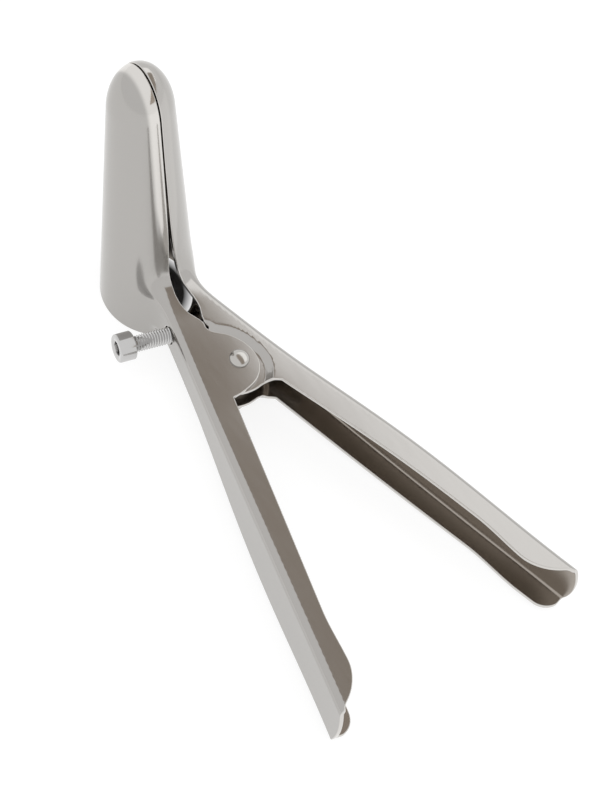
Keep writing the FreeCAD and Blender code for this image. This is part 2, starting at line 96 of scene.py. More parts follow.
# %% Blade
def blade_field(p):
    """Both blades as one closed taper with a rounded tip."""
    y = p[..., 1] - MOUTH_Y
    z = p[..., 2] - MOUTH_Z
    along = y * RISE_COS + z * RISE_SIN
    out = np.hypot(p[..., 0], z * RISE_COS - y * RISE_SIN)
    taper = (MOUTH_R - TIP_R) / STRAIGHT
    past = np.clip(along - STRAIGHT, 0, None)
    curl = (TIP_R ** 2 - 2 * TIP_R * taper * DOME) / DOME ** 2
    dome = out ** 2 + 2 * TIP_R * taper * past + curl * past ** 2 - TIP_R ** 2
    dome = dome / (2 * np.sqrt(out ** 2 + (TIP_R * taper + curl * past) ** 2) + 1e-9)
    return np.where(along < STRAIGHT, out - (MOUTH_R - taper * along), dome)


mouth_edge = np.array([MOUTH_R, MOUTH_Y, MOUTH_Z])
print("the blade's field is %.3f mm at the edge of the mouth" % blade_field(mouth_edge))

# %% [markdown]
# A handle is a channel: a web with a flange in front and one behind.  It gets wider and shallower
# toward its end, and its walls are bowed a little, so that it lies well in the hand.  Its section is
# a rectangle with rounded corners, because sheet is bent round a radius and never to a sharp corner.

# %% Handle
def handle_axes(p):
    """Depth across a handle and distance along it, for points of the right half."""
    deep = p[..., 0] * LEAN_COS + p[..., 1] * LEAN_SIN
    along = p[..., 0] * LEAN_SIN - p[..., 1] * LEAN_COS
    return deep, along


def bow_share(along):
    """Share of the full bow at each distance along a handle."""
    return np.sin(math.pi * np.clip((along - BOW_START) / (REACH - BOW_START), 0, 1)) ** 2


def handle_field(p, sunk):
    """Channel of one handle; sunk is how far its flanges are pressed in at each point."""
    deep, along = handle_axes(p)
    widen = along - NECK_END
    widen = np.where(widen > 4, widen, np.where(widen < -4, 0, (widen + 4) ** 2 / 16))
    share = bow_share(along)
    half = NECK_HALF + SPREAD * widen + SIDE_BOW * share - sunk
    web = NECK_DEEP - THIN * along + WEB_BOW * share
    across = deep - (web - BEND)
    beside = np.abs(p[..., 2]) - (half - BEND)
    corner = np.hypot(np.clip(across, 0, None), np.clip(beside, 0, None))
    return corner + np.minimum(np.maximum(across, beside), 0) - BEND


print("channel: %.1f mm wide at the neck, %.1f mm at its end" % (
    2 * NECK_HALF, 2 * (NECK_HALF + SPREAD * (REACH - NECK_END))))

# %% [markdown]
# ## Ears
# Round ears overlap at the pivot.  Each outline is a closed row of corners, given from the base
# point, and cutting its corners off makes it flow.  The distance to it trims the sheet.

# %% Outlines of the ears
def rounded(corners, rounds=1):
    """Closed outline with its corners cut off again and again, until it flows."""
    for _ in range(rounds):
        after = np.roll(corners, -1, axis=0)
        corners = np.stack([0.75 * corners + 0.25 * after, 0.25 * corners + 0.75 * after], 1).reshape(-1, 2)
    return corners


LEFT_EAR = rounded(np.array([
    (-0.6, -1.6), (-0.1, -3.2), (1.0, -4.4), (2.6, -5.7), (4.1, -7.3), (5.3, -9.3), (6.2, -11.3),
    (6.7, -13.3), (6.9, -15.3), (6.7, -17.3), (6.1, -19.2), (5.0, -20.9), (3.7, -22.2), (2.2, -23.2),
    (0.5, -23.9),
    (-1.4, -24.3), (-3.9, -24.6), (-7.6, -24.7), (-13.0, -25.0), (-13.0, -1.0), (-4.0, 1.0)]))
RIGHT_EAR = rounded(np.array([
    (8.4, -27.3), (7.3, -26.5), (6.2, -25.8), (4.8, -25.1), (3.2, -24.9), (0.8, -25.2), (-1.6, -25.0),
    (-4.3, -24.3), (-6.8, -22.9), (-8.8, -20.7), (-10.1, -18.2), (-10.5, -15.2), (-10.2, -12.6),
    (-8.6, -9.4), (-5.8, -6.4), (-2.6, -3.9), (-0.3, -2.6), (1.0, -1.0), (13.0, -2.0), (13.0, -27.3)]))


def outline_distance(x, y, corners):
    """Signed distance to a closed outline, negative inside."""
    nearest = np.full(x.shape, 1e9)
    inside = np.zeros(x.shape, bool)
    for (ax, ay), (bx, by) in zip(corners, np.roll(corners, -1, axis=0)):
        ex, ey = bx - ax, by - ay
        share = np.clip(((x - ax) * ex + (y - ay) * ey) / (ex * ex + ey * ey), 0, 1)
        nearest = np.minimum(nearest, np.hypot(x - ax - share * ex, y - ay - share * ey))
        if ay != by:
            inside ^= ((ay > y) != (by > y)) & (x < ax + (y - ay) * ex / (by - ay))
    return np.where(inside, -nearest, nearest)


pin_x, pin_y = PIVOT[:1], PIVOT[1:]
print("sheet round the pivot: left ear %.1f mm, right ear %.1f mm" % (
    -outline_distance(pin_x, pin_y, LEFT_EAR)[0], -outline_distance(pin_x, pin_y, RIGHT_EAR)[0]))

# %% [markdown]
# ## The sunk seat
# The ears of the left half lie flush with its flanges, so the right half is pressed in by one sheet
# under them.  The seat is the left ear's outline, swept through its whole turn, and a short slope
# leads out of it.

# %% Seat under the left ears
SEAT_DEEP, SEAT_PLAY, SEAT_SLOPE = SHEET + 0.06, 0.15, 2.6
TURN_STEPS = (0, 4, 8, 12, 16, 20, 24, 28)


def turned(corners, degrees):
    """Outline turned about the pivot."""
    a = math.radians(degrees)
    turn = np.array([[math.cos(a), -math.sin(a)], [math.sin(a), math.cos(a)]])
    return (corners - PIVOT) @ turn.T + PIVOT


def seat_depth(p, grow):
    """How far the right half's flange is sunk at each point."""
    x, y = p[..., 0], p[..., 1]
    depth = np.zeros(x.shape)
    close = (y < 3) & (y > -30) & (x < 14)
    sweep = np.min([outline_distance(x[close], y[close], turned(LEFT_EAR, a)) for a in TURN_STEPS], axis=0)
    depth[close] = SEAT_DEEP * (1 - ease((sweep - SEAT_PLAY - grow) / SEAT_SLOPE))
    return depth


print("seat is sunk %.2f mm over a turn of %d degrees" % (SEAT_DEEP, TURN_STEPS[-1]))

# %% [markdown]
# ## Where the sheet ends
# A pressing is trimmed after it is formed: along the line between the halves, at the level mouth,
# round the handle ends and at the holes.  First come the two places that the trims follow: the
# lens-shaped gap between the halves, as half widths along the front edge, and the foot of the
# screw, which stands square on the left web.

# %% Gap between the halves, foot of the screw
LENS_ALONG = [0, 1.5, 3.4, 4.5, 6.5, 8.8, 12.4, 15, 19.8, 24.4, 28, 32, 36, 45, 60, 95]
LENS_HALF = [0.12, 0.5, 1.3, 1.8, 2.2, 2.3, 2.1, 1.8, 1.55, 1.1, 0.85, 0.65, 0.52, 0.38, 0.27, 0.25]
SLIT = 0.25
SCREW_AT = 4.0
WEB_LEAN = LEAN - math.atan(THIN)
web_station = (NECK_DEEP * LEAN_SIN - SCREW_AT) / (LEAN_COS + THIN * LEAN_SIN)
web_depth = NECK_DEEP - THIN * web_station
SCREW_FOOT = np.array([web_depth * LEAN_COS + web_station * LEAN_SIN, SCREW_AT, 0.0])
SCREW_WAY = np.array([math.cos(WEB_LEAN), math.sin(WEB_LEAN), 0.0])
print("screw stands %.1f mm out on the web and leans %.1f degrees" % (
    SCREW_FOOT[0], math.degrees(WEB_LEAN)))

# %% [markdown]
# Each trim is a number that is positive where sheet is kept, and the smallest of them wins.  The
# front edge runs level from the ears and then climbs the blades; the gap is read along it.  At the
# end of a handle the free edges first flare.  In front the edge then sweeps round to the fold, and
# behind it ends in a round corner, so that nothing sharp meets the palm.

# %% Trims
LEVEL_LONG, CLIMB = 14.87, 1.063
FLARE, FLARE_FROM, FLARE_LONG = 1.5, 98.0, 20.0
FRONT_FROM, FRONT_R = 114.3, 17.0
BACK_FROM, BACK_R = 123.3, 6.0
WEB_FROM, TRIM_JOIN = 5.3, 2.5
END_HALF, END_ROUND = 9.35, 2.2
PIN_HOLE_R, SCREW_HOLE_R = 2.05, 2.75


def kept(p, left):
    """Positive where the sheet of one half is kept, in the right-hand attitude."""
    x, y, z = p[..., 0], p[..., 1], p[..., 2]
    deep, along = handle_axes(p)
    up_wall = np.minimum(y, LEVEL_LONG) + np.clip(z - NECK_HALF, 0, None) * CLIMB
    near_wall = (y < MOUTH_Y + (z - MOUTH_Z) * RISE_COS / RISE_SIN) & (z > 0)
    gap = np.where(near_wall, np.interp(up_wall, LENS_ALONG, LENS_HALF), SLIT)
    edge = deep - EDGE_BOW * bow_share(along) + FLARE * ease((along - FLARE_FROM) / FLARE_LONG)
    start, radius = np.where(z > 0, FRONT_FROM, BACK_FROM), np.where(z > 0, FRONT_R, BACK_R)
    edge = np.where(along > start, radius - np.hypot(np.clip(radius - edge, 0, None), along - start), edge)
    edge = -soft_union(-edge, WEB_FROM - deep, TRIM_JOIN)
    web_end = REACH - 0.1 - END_ROUND * (z / END_HALF) ** 2 - along
    edge = np.where(along > 90, np.minimum(edge, web_end), edge)
    side = np.minimum(x - gap, edge)
    close = (y < 2) & (y > -32) & (np.abs(z) > 2.5)
    ear = np.full(x.shape, -9.0)
    ear[close] = -outline_distance(-x[close] if left else x[close], y[close], LEFT_EAR if left else RIGHT_EAR)
    amount = np.maximum(side, ear)
    amount = np.minimum(amount, z - MOUTH_Z)
    pin = np.hypot(x - (-PIVOT[0] if left else PIVOT[0]), y - PIVOT[1]) - PIN_HOLE_R
    amount = np.minimum(amount, pin)
    if left:
        arm = p - SCREW_FOOT
        reach = arm @ SCREW_WAY
        hole = np.linalg.norm(arm - reach[..., None] * SCREW_WAY, axis=-1) - SCREW_HOLE_R
        amount = np.minimum(amount, np.where(np.abs(reach) < 4, hole, 9))
    return amount - EDGE


middle_of_web = np.array([SCREW_FOOT + (0, -20, 0)])
print("on the web, the nearest trim is %.1f mm away" % kept(middle_of_web, False)[0])

# %% [markdown]
# ## Sliding a point onto a surface
# A field tells how far a surface is, and its slope tells which way.  A few steps of that length and
# direction put any point onto the surface, so the polish will show no steps of a grid.

# %% Slope of a field
def gradient(rule, p, width=0.02):
    """Slope of a field at each point."""
    slope = np.zeros(p.shape)
    for axis in range(3):
        shift = np.zeros(3)
        shift[axis] = width
        slope[:, axis] = (rule(p + shift) - rule(p - shift)) / (2 * width)
    return slope


def unit(ways):
    """Directions of length 1."""
    return ways / np.linalg.norm(ways, axis=1)[:, None]


def onto(rule, p, rounds=4):
    """Points moved along the slope onto the surface."""
    for _ in range(rounds):
        slope = gradient(rule, p)
        p = p - slope * (rule(p) / (slope ** 2).sum(1))[:, None]
    return p


near_blade = onto(blade_field, mouth_edge[None] + (1.0, 0.0, 20.0))
print("a point near the blade lands %.6f mm from it" % abs(blade_field(near_blade)[0]))

# %% [markdown]
# ## From field to mesh
# The field is read on a grid.  Every grid cell that the surface passes gets one point: the middle
# of the places where it crosses the cell's edges.  Modelling this by hand would need a cage of
# patches; the rules give an even net with the same flow.

# %% Points of the net
STEP = 0.62


def net_points(value, low, wanted):
    """Cells that the surface passes where wanted is above zero, and a point in each."""
    full = value < 0
    shape = np.array(value.shape) - 1
    offsets = [(i, j, k) for i in (0, 1) for j in (0, 1) for k in (0, 1)]

    def corner(array, o):
        return array[o[0]:o[0] + shape[0], o[1]:o[1] + shape[1], o[2]:o[2] + shape[2]]
    count = sum(corner(full, o).astype(np.int8) for o in offsets)
    cells = np.argwhere((count > 0) & (count < 8))
    middle = np.array(low) + (cells + 0.5) * STEP
    cells = cells[wanted(middle) > -2.0]
    total = np.zeros((len(cells), 3))
    hits = np.zeros(len(cells))
    for o in offsets:
        for axis in range(3):
            if o[axis]:
                continue
            a = cells + o
            b = a.copy()
            b[:, axis] += 1
            va, vb = value[tuple(a.T)], value[tuple(b.T)]
            crossed = (va < 0) != (vb < 0)
            share = np.where(crossed, va / np.where(crossed, va - vb, 1), 0)
            place = a.astype(float)
            place[:, axis] += share
            total += place * crossed[:, None]
            hits += crossed
    return cells, np.array(low) + total / hits[:, None] * STEP


print("one point per cell of %.2f mm" % STEP)

# %% [markdown]
# Four cells share each grid line.  Where the surface crosses the line, their four points are the
# corners of a square, listed so that it faces away from the form's inside.

# %% Squares of the net
def net_squares(value, cells):
    """Squares between the points of neighbouring cells."""
    full = value < 0
    shape = np.array(value.shape) - 1
    number = np.full(tuple(shape), -1)
    number[tuple(cells.T)] = np.arange(len(cells))
    squares = []
    for axis in range(3):
        b, c = (axis + 1) % 3, (axis + 2) % 3
        ahead = [slice(None)] * 3
        ahead[axis] = slice(1, None)
        behind = [slice(None)] * 3
        behind[axis] = slice(None, -1)
        crossing = full[tuple(behind)] != full[tuple(ahead)]
        at = np.argwhere(crossing)
        at = at[(at[:, b] > 0) & (at[:, c] > 0) & (at[:, b] < shape[b]) & (at[:, c] < shape[c])]
        ring = []
        for db, dc in ((-1, -1), (0, -1), (0, 0), (-1, 0)):
            cell = at.copy()
            cell[:, b] += db
            cell[:, c] += dc
            ring.append(number[tuple(cell.T)])
        ring = np.stack(ring, 1)
        outward = full[tuple(at.T)]
        ring[~outward] = ring[~outward][:, ::-1]
        squares.append(ring[(ring >= 0).all(1)])
    return np.concatenate(squares)


def surface_net(rule, low, high, wanted):
    """Even net of squares over the zero surface of a field, where wanted is above zero."""
    axes = [np.arange(low[a], high[a] + STEP, STEP) for a in range(3)]
    value = rule(np.stack(np.meshgrid(*axes, indexing="ij"), -1))
    cells, points = net_points(value, low, wanted)
    return points, net_squares(value, cells)


def ball(p):
    """Test form: a ball of 3 mm."""
    return np.linalg.norm(p, axis=-1) - 3.0


net, squares = surface_net(ball, (-4, -4, -4), (4, 4, 4), lambda p: np.ones(len(p)))
print("a test ball takes", len(net), "points and", len(squares), "squares")

# %% [markdown]
# The net's points lie a little unevenly, as the grid cut them.  Each moves halfway to the middle of
# its neighbours and back onto the surface, a few times over.

# %% Even the net out
def relaxed(points, squares, rule, rounds=3):
    """Points evened out among their neighbours, then put back onto the surface."""
    pairs = np.concatenate([squares[:, [0, 1]], squares[:, [1, 2]], squares[:, [2, 3]], squares[:, [3, 0]]])
    pairs = np.concatenate([pairs, pairs[:, ::-1]])
    degree = np.bincount(pairs[:, 0], minlength=len(points)).clip(1)
    for _ in range(rounds):
        mean = np.stack([np.bincount(pairs[:, 0], points[pairs[:, 1], a], len(points)) for a in range(3)], 1)
        points = onto(rule, 0.5 * points + 0.5 * mean / degree[:, None], 2)
    return points


smooth = relaxed(net, squares, ball)
print("evened out, the ball's points lie within %.6f mm" % np.abs(ball(smooth)).max())

# %% [markdown]
# ## Trimming the net
# A trim line lies where the trim's number is zero on the surface.  A point slides onto it like
# onto a surface, but its way is first laid flat in the sheet, so that it doesn't leave the form.

# %% Slide onto a trim line
def to_trim(p, rule, amount, rounds):
    """Points moved within the surface onto the trim line."""
    for _ in range(rounds):
        slope = gradient(amount, p)
        face = unit(gradient(rule, p))
        slope -= face * (slope * face).sum(1)[:, None]
        move = amount(p) / np.clip((slope ** 2).sum(1), 0.05, None)
        p = p - slope * np.clip(move, -STEP, STEP)[:, None]
        p = onto(rule, p, 1)
    return p


ring = to_trim(smooth[np.abs(smooth[:, 2] - 2.0) < 0.3], ball, lambda p: p[..., 2] - 2.0, 3)
print("points of the ball slid to a height of %.4f to %.4f mm" % (ring[:, 2].min(), ring[:, 2].max()))

# %% [markdown]
# Squares that cross a trim line are cut there.  Points that already lie close to the line are first
# pulled onto it, because a cut that leaves slivers shows in a polished surface.

# %% Cut along the trims
PULL = 0.33 * STEP


def trimmed(points, squares, rule, amount):
    """Net cut at the trim line: points, faces."""
    value = amount(points)
    near = np.abs(value) < PULL
    points = points.copy()
    points[near] = to_trim(points[near], rule, amount, 4)
    value = amount(points)
    value[near] = 0
    faces = [list(f) for f in squares[(value[squares] >= 0).all(1)] if (value[f] > 0).any()]
    mixed = squares[(value[squares] > 0).any(1) & (value[squares] < 0).any(1)]
    made = {}
    ends = []
    for square in mixed:
        ring = []
        for a, b in zip(square, np.roll(square, -1)):
            if value[a] >= 0:
                ring.append(int(a))
            if value[a] * value[b] < 0:
                key = (min(a, b), max(a, b))
                if key not in made:
                    made[key] = len(points) + len(ends)
                    ends.append(key)
                ring.append(made[key])
        if len(ring) > 2:
            faces.append(ring)
    ends = np.array(ends)
    share = (value[ends[:, 0]] / (value[ends[:, 0]] - value[ends[:, 1]]))[:, None]
    fresh = points[ends[:, 0]] * (1 - share) + points[ends[:, 1]] * share
    points = np.concatenate([points, to_trim(onto(rule, fresh, 2), rule, amount, 3)])
    used = np.unique(np.concatenate([np.array(f) for f in faces]))
    renumber = np.full(len(points), -1)
    renumber[used] = np.arange(len(used))
    return points[used], [[int(renumber[i]) for i in f] for f in faces]


cap, cap_faces = trimmed(smooth, squares, ball, lambda p: p[..., 2] - 1.0)
print("the ball, cut at 1 mm up, starts at %.4f mm" % cap[:, 2].min())

# %% [markdown]
# ## Giving the sheet its thickness
# The inner face lies one sheet inside.  Each point goes straight in and then stops exactly on the
# inner surface.  Straight in is judged by the form without its seat, because at the seat's slope
# the two faces would otherwise cross.

# %% Inner face
def inner_net(points, inner_rule, plain_rule):
    """Points of the inner face, one for each point of the outer net."""
    straight = unit(gradient(plain_rule, points))
    inner = points - straight * SHEET
    for _ in range(4):
        slope = (gradient(inner_rule, inner) * straight).sum(1)
        inner -= straight * np.clip(inner_rule(inner) / np.where(np.abs(slope) < 0.3, 1, slope),
                                    -0.5, 0.5)[:, None]
    return inner


inner_ball = inner_net(smooth, lambda p: ball(p) + SHEET, ball)
print("the ball's wall is %.3f mm thick" % np.linalg.norm(smooth - inner_ball, axis=1).mean())

# %% [markdown]
# A side that only one face uses is a rim.  At each rim point the way out of the sheet is square to
# the rim and to the face's normal, and it is evened out a little among neighbours.

# %% Rims and the way out of them
def rim_ways(points, faces, outer_normal):
    """Rim sides, rim points, and the way out of the sheet at each point."""
    sides = {}
    for f in faces:
        for a, b in zip(f, f[1:] + f[:1]):
            sides[(a, b)] = sides.get((a, b), 0) + 1
    rim = [(a, b) for a, b in sides if (b, a) not in sides]
    out = np.zeros(points.shape)
    pair = np.array(rim)
    way = points[pair[:, 1]] - points[pair[:, 0]]
    for end in (0, 1):
        np.add.at(out, pair[:, end], np.cross(way, outer_normal[pair[:, end]]))
    for _ in range(2):
        mixed = out.copy()
        np.add.at(mixed, pair[:, 0], out[pair[:, 1]] * 0.5)
        np.add.at(mixed, pair[:, 1], out[pair[:, 0]] * 0.5)
        out = mixed
    length = np.linalg.norm(out, axis=1)[:, None]
    return rim, np.unique(pair), out / np.where(length > 1e-9, length, 1)


print("the cut ball has", len(rim_ways(cap, cap_faces, unit(gradient(ball, cap)))[1]), "rim points")

# %% [markdown]
# A cut and tumbled edge is not sharp: a narrow strip with a small radius runs round every rim, and
# that strip is what draws the bright lines of the photograph.  At the mouth the strip ends level, so
# that the part stands flat.  Three marks go along with the points, for the finish to read: which
# points are rim, which are inner face, and where a painted highlight brightens the sheet beside the slit.

# %% Thickness and rounded rims
# Band of the painted highlight beside the slit: the heights over which it widens, its width at the foot and
# its growth.
HIGHLIGHT_LOW, HIGHLIGHT_HIGH, HIGHLIGHT_START, HIGHLIGHT_WIDTH = 10.0, 38.0, 0.3, 2.9


def sheet_solid(points, faces, rule, inner_rule, plain_rule, rule_trim):
    """Closed sheet with rounded rims: points, faces, exact normals and three marks."""
    outer_normal = unit(gradient(rule, points))
    inner = inner_net(points, inner_rule, plain_rule)
    rim, edge, out = rim_ways(points, faces, outer_normal)
    level = MOUTH_Z + EDGE
    foot = edge[points[edge, 2] < level + 0.05]
    drop = inner[foot, 2] - points[foot, 2]
    lean = np.where(np.abs(out[foot, 2]) > 0.5, out[foot, 2], -1)
    inner[foot] -= out[foot] * (drop / lean)[:, None]
    inner[:, 2] = np.maximum(inner[:, 2], level)
    across = inner - points
    inner_normal = -unit(gradient(inner_rule, inner))
    rings, normals = [], [outer_normal, inner_normal]
    angles = [math.pi / 6, math.pi / 3, math.pi / 2]
    steps = [(EDGE * (1 - math.cos(a)) / SHEET, EDGE * math.sin(a), math.cos(a)) for a in angles]
    steps += [(1 - f, e, -c) for f, e, c in steps[::-1]]
    place = np.full(len(points), -1)
    place[edge] = np.arange(len(edge))
    for share, reach, rest in steps:
        rings.append(points[edge] + across[edge] * share + out[edge] * reach)
        normals.append(outer_normal[edge] * rest + out[edge] * math.sqrt(1 - rest * rest))
    count = len(points)
    everything = np.concatenate([points, inner] + rings)
    everything[:, 2] = np.maximum(everything[:, 2], MOUTH_Z)
    whole = [list(f) for f in faces] + [[i + count for i in reversed(f)] for f in faces]
    levels = [lambda i: i]
    levels += [lambda i, k=k: 2 * count + k * len(edge) + int(place[i]) for k in range(len(steps))]
    levels.append(lambda i: i + count)
    for a, b in rim:
        for lower, upper in zip(levels[:-1], levels[1:]):
            whole.append([lower(b), lower(a), upper(a), upper(b)])
    rim_mark = np.zeros(len(everything))
    rim_mark[2 * count:] = 1
    inner_mark = np.zeros(len(everything))
    inner_mark[count:2 * count] = 1
    # Painted highlight beside the slit: a band along the trim, wider up the blades, that the finish paints
    # brighter.
    worn_mark = np.zeros(len(everything))
    band = HIGHLIGHT_START + HIGHLIGHT_WIDTH * ease((points[:, 2] - HIGHLIGHT_LOW) / (HIGHLIGHT_HIGH - HIGHLIGHT_LOW))
    worn_mark[:count] = (1 - ease((rule_trim(points) / band - 0.75) / 0.4)) * ease((points[:, 2] - 8) / 12)
    return everything, whole, np.concatenate(normals), rim_mark, inner_mark, worn_mark


print("rims are rounded by %.1f mm and worn up to %.1f mm wide" % (EDGE, HIGHLIGHT_START + HIGHLIGHT_WIDTH))

# %% [markdown]
# Every piece ends as a plain mesh at the origin, with its place in its points, so that patterns in
# its finish stay where they are.  The exact normals come from the fields, not from the faces.

# %% Make a mesh
def add_mesh(name, points, faces, material, normals=None, **marks):
    """Smooth mesh in metres at the origin; marks are numbers per point that a finish can read."""
    mesh = bpy.data.meshes.new(name)
    mesh.from_pydata([tuple(p) for p in points], [], faces)
    for mark, values in marks.items():
        mesh.attributes.new(mark, "FLOAT", "POINT").data.foreach_set("value", values)
    mesh.validate()
    mesh.shade_smooth()
    if normals is not None:
        mesh.normals_split_custom_set_from_vertices([tuple(n) for n in normals])
    mesh.materials.append(material)
    item = bpy.data.objects.new(name, mesh)
    bpy.context.scene.collection.objects.link(item)
    return item


print("meshes of the solids:", len(bpy.data.meshes))

# %% [markdown]
# ## Finishes
# Everything is metal, and metal is only what it reflects plus how much it blurs that.  The sheet is
# satin steel, so its roughness changes slowly where hands and cloths have polished it, and fine
# brush lines run along the handles.  The marks on the mesh steer the rest: cut rims are glossier
# from tumbling and carry a painted highlight in a brighter colour, a band beside the slit carries a
# painted highlight in a brighter colour and a glossier finish, and the inside of a channel is rougher
# and painted darker and browner, as painted shade.

# %% Helpers for finishes
# Colour gains of the painted highlights beside the slit and on the rims, and the cap on them.
SLIT_HIGHLIGHT_GAIN, RIM_HIGHLIGHT_GAIN, MOST = 1.6, 1.45, 0.9
# Colour factors of the painted shade inside a channel.
INNER_SHADE_FACTORS = (0.85, 0.79, 0.73)


def put(nodes, kind, **values):
    """New node with some of its inputs set by name."""
    item = nodes.new(kind)
    for key, value in values.items():
        item.inputs[key.replace("_", " ")].default_value = value
    return item


def math_node(tree, operation, first, second):
    """Sum, product or the like of two numbers or sockets."""
    item = tree.nodes.new("ShaderNodeMath")
    item.operation = operation
    for socket, value in enumerate((first, second)):
        if isinstance(value, bpy.types.NodeSocket):
            tree.links.new(value, item.inputs[socket])
        else:
            item.inputs[socket].default_value = value
    return item.outputs[0]


def blend(tree, kind, factor, first, second):
    """Mix of two numbers or two colours; each may be a value or a socket."""
    item = tree.nodes.new("ShaderNodeMix")
    item.data_type = kind
    low, high, result = (2, 3, 0) if kind == "FLOAT" else (6, 7, 2)
    tree.links.new(factor, item.inputs[0])
    for socket, value in ((low, first), (high, second)):
        if isinstance(value, bpy.types.NodeSocket):
            tree.links.new(value, item.inputs[socket])
        else:
            item.inputs[socket].default_value = value
    return item.outputs[result]


def marked_look(tree, colour, rough, roughness):
    """Colour and roughness of sheet: the marks paint a highlight beside the slit, shade on the inner face and
    a highlight on the rims.
    """
    marks = {}
    for mark in ("rim", "inner", "worn"):
        marks[mark] = tree.nodes.new("ShaderNodeAttribute")
        marks[mark].attribute_name = mark
    # Beside the slit: painted highlight in a brighter colour, with a glossier finish.
    slit_highlight_tone = tuple(min(c * SLIT_HIGHLIGHT_GAIN, MOST) for c in colour) + (1,)
    # Inner face: painted shade, darker and browner, with a rougher finish.
    inner_shade_tone = tuple(c * s for c, s in zip(colour, INNER_SHADE_FACTORS)) + (1,)
    # Rims: painted highlight in a brighter colour, plus the real glossier burnish of tumbling.
    bright = tuple(min(c * RIM_HIGHLIGHT_GAIN, MOST) for c in colour) + (1,)
    shade = (*colour, 1)
    for mark, tone, gloss in (("worn", slit_highlight_tone, 0.7), ("inner", inner_shade_tone, 1.7), ("rim", bright, 0.6)):
        factor = marks[mark].outputs["Fac"]
        shade = blend(tree, "RGBA", factor, shade, tone)
        roughness = blend(tree, "FLOAT", factor, roughness, rough * gloss)
    return shade, roughness


print("a worn band is %.1f times as bright, a rim %.2f times, the inner face %.2f times" % (
    SLIT_HIGHLIGHT_GAIN, RIM_HIGHLIGHT_GAIN, sum(INNER_SHADE_FACTORS) / 3))

# %% [markdown]
# One rule makes all four steels.  Stretched noise gives the brush lines, slow noise a gloss that
# wanders, and both raise the surface by a few thousandths of a millimetre.

# %% Steel finishes
def steel(name, colour, rough, grain_scale, stretch, swell_height, marked=False):
    """Metal with brush lines, a slow unevenness in gloss and shape, and, when marked, the painted highlights
    and painted shade of the marks.
    """
    material = bpy.data.materials.new(name)
    material.use_nodes = True
    nodes, links = material.node_tree.nodes, material.node_tree.links
    shader = nodes["Principled BSDF"]
    shader.inputs["Metallic"].default_value = 1.0
    shader.inputs["Base Color"].default_value = (*colour, 1)
    where = nodes.new("ShaderNodeTexCoord")
    lines = put(nodes, "ShaderNodeMapping", Scale=stretch)
    links.new(where.outputs["Object"], lines.inputs["Vector"])
    brush = put(nodes, "ShaderNodeTexNoise", Scale=grain_scale, Detail=5.0, Roughness=0.6)
    links.new(lines.outputs["Vector"], brush.inputs["Vector"])
    swell = put(nodes, "ShaderNodeTexNoise", Scale=45.0, Detail=2.0)
    links.new(where.outputs["Object"], swell.inputs["Vector"])
    gloss = put(nodes, "ShaderNodeMapRange", From_Min=0.3, From_Max=0.7, To_Min=rough * 0.75,
                To_Max=rough * 1.3)
    links.new(brush.outputs["Fac"], gloss.inputs["Value"])
    slow = put(nodes, "ShaderNodeMapRange", To_Min=rough * 0.85, To_Max=rough * 1.2)
    links.new(swell.outputs["Fac"], slow.inputs["Value"])
    both = math_node(material.node_tree, "ADD", gloss.outputs["Result"], slow.outputs["Result"])
    roughness = math_node(material.node_tree, "MULTIPLY", both, 0.5)
    if marked:
        shade, roughness = marked_look(material.node_tree, colour, rough, roughness)
        links.new(shade, shader.inputs["Base Color"])
    links.new(roughness, shader.inputs["Roughness"])
    fine = put(nodes, "ShaderNodeBump", Strength=0.04, Distance=0.00002)
    links.new(brush.outputs["Fac"], fine.inputs["Height"])
    wavy = put(nodes, "ShaderNodeBump", Strength=1.0, Distance=swell_height)
    links.new(swell.outputs["Fac"], wavy.inputs["Height"])
    links.new(fine.outputs["Normal"], wavy.inputs["Normal"])
    links.new(wavy.outputs["Normal"], shader.inputs["Normal"])
    return material


sheet_steel = steel("satin_sheet", (0.43, 0.417, 0.40), 0.15, 700.0, (1.0, 0.12, 0.5), 0.00002, True)
rivet_steel = steel("polished_rivet", (0.50, 0.487, 0.465), 0.14, 900.0, (1.0, 1.0, 0.3), 0.00001)
chrome = steel("chrome_screw", (0.55, 0.545, 0.54), 0.09, 900.0, (1.0, 1.0, 0.3), 0.000005)
spring_steel = steel("spring_wire", (0.34, 0.33, 0.315), 0.28, 900.0, (1.0, 1.0, 0.2), 0.00001)
print("finishes:", [m.name for m in (sheet_steel, rivet_steel, chrome, spring_steel)])

# %% [markdown]
# ## Pressing both halves
# The same steps make each half: net, even out, trim, thicken.  The left one is then mirrored, which
# turns its faces inside out, so their corners are listed backwards.  The painted highlight beside the
# slit is full on the left half and a fifth as strong on the right.

